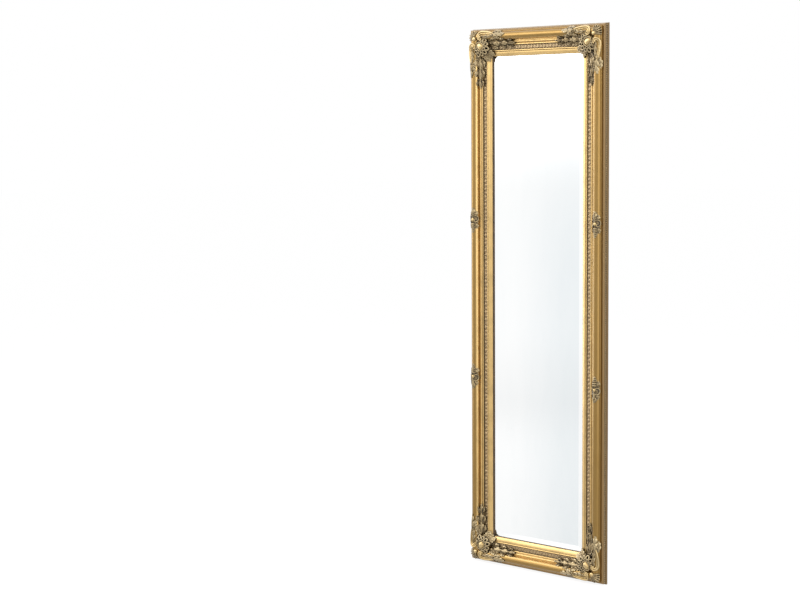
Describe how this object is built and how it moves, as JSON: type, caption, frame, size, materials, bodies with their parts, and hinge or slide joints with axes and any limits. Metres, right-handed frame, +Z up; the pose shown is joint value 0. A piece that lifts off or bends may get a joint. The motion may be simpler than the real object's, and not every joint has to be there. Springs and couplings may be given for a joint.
{
  "type": "wall mirror",
  "caption": "Tall rectangular wall mirror in a wide gilded moulding with cast shell and scroll corners, side ornaments, a bevelled glass and swinging hanger rings behind.",
  "frame": {"origin": "middle of the frame's back plane, where the mirror meets the wall", "axes": "+Z up the mirror, -Y out of the front towards the room, +X to the right seen from the front"},
  "size_m": [0.5, 0.0477, 1.6],
  "materials": {
    "gilt_wood": "satin gold leaf over wood, brown wash in the hollows",
    "gilt_composition": "antiqued gold, darkened",
    "antique_gilt_casting": "antiqued gold with dark recesses and rubbed high points",
    "mirror_glass": "silvered, polished, bevelled edge",
    "hardboard": "raw hardboard",
    "zinc_steel": "zinc plated",
    "bumper_rubber": "matt"
  },
  "bodies": {
    "frame": {"top_rail": "gilt_wood", "bottom_rail": "gilt_wood", "left_stile": "gilt_wood", "right_stile": "gilt_wood", "leaf_strip_top": "gilt_composition", "leaf_strip_bottom": "gilt_composition", "leaf_strip_left": "gilt_composition", "leaf_strip_right": "gilt_composition", "pearl_strip_top": "gilt_composition", "pearl_strip_bottom": "gilt_composition", "pearl_strip_left": "gilt_composition", "pearl_strip_right": "gilt_composition", "corner_ornament_top_left": "antique_gilt_casting", "corner_ornament_top_right": "antique_gilt_casting", "corner_ornament_bottom_left": "antique_gilt_casting", "corner_ornament_bottom_right": "antique_gilt_casting", "stile_ornament_upper_left": "antique_gilt_casting", "stile_ornament_lower_left": "antique_gilt_casting", "stile_ornament_upper_right": "antique_gilt_casting", "stile_ornament_lower_right": "antique_gilt_casting", "mirror_glass": "mirror_glass", "backing_board": "hardboard", "backing_points": "zinc_steel", "corner_nails": "zinc_steel", "hanger_strap_left": "zinc_steel", "hanger_strap_right": "zinc_steel", "hanger_screws": "zinc_steel", "wall_bumpers": "bumper_rubber"},
    "ring_left": {"hanger_ring_left": "zinc_steel"},
    "ring_right": {"hanger_ring_right": "zinc_steel"}
  },
  "joints": [
    {"name": "hanger_ring_left_swing", "type": "hinge", "parent": "frame", "child": "ring_left", "pos_m": [-0.214, 0.0026, 0.545], "axis": [1, 0, 0], "range_deg": [0, 172]},
    {"name": "hanger_ring_right_swing", "type": "hinge", "parent": "frame", "child": "ring_right", "pos_m": [0.214, 0.0026, 0.545], "axis": [1, 0, 0], "range_deg": [0, 172]}
  ]
}
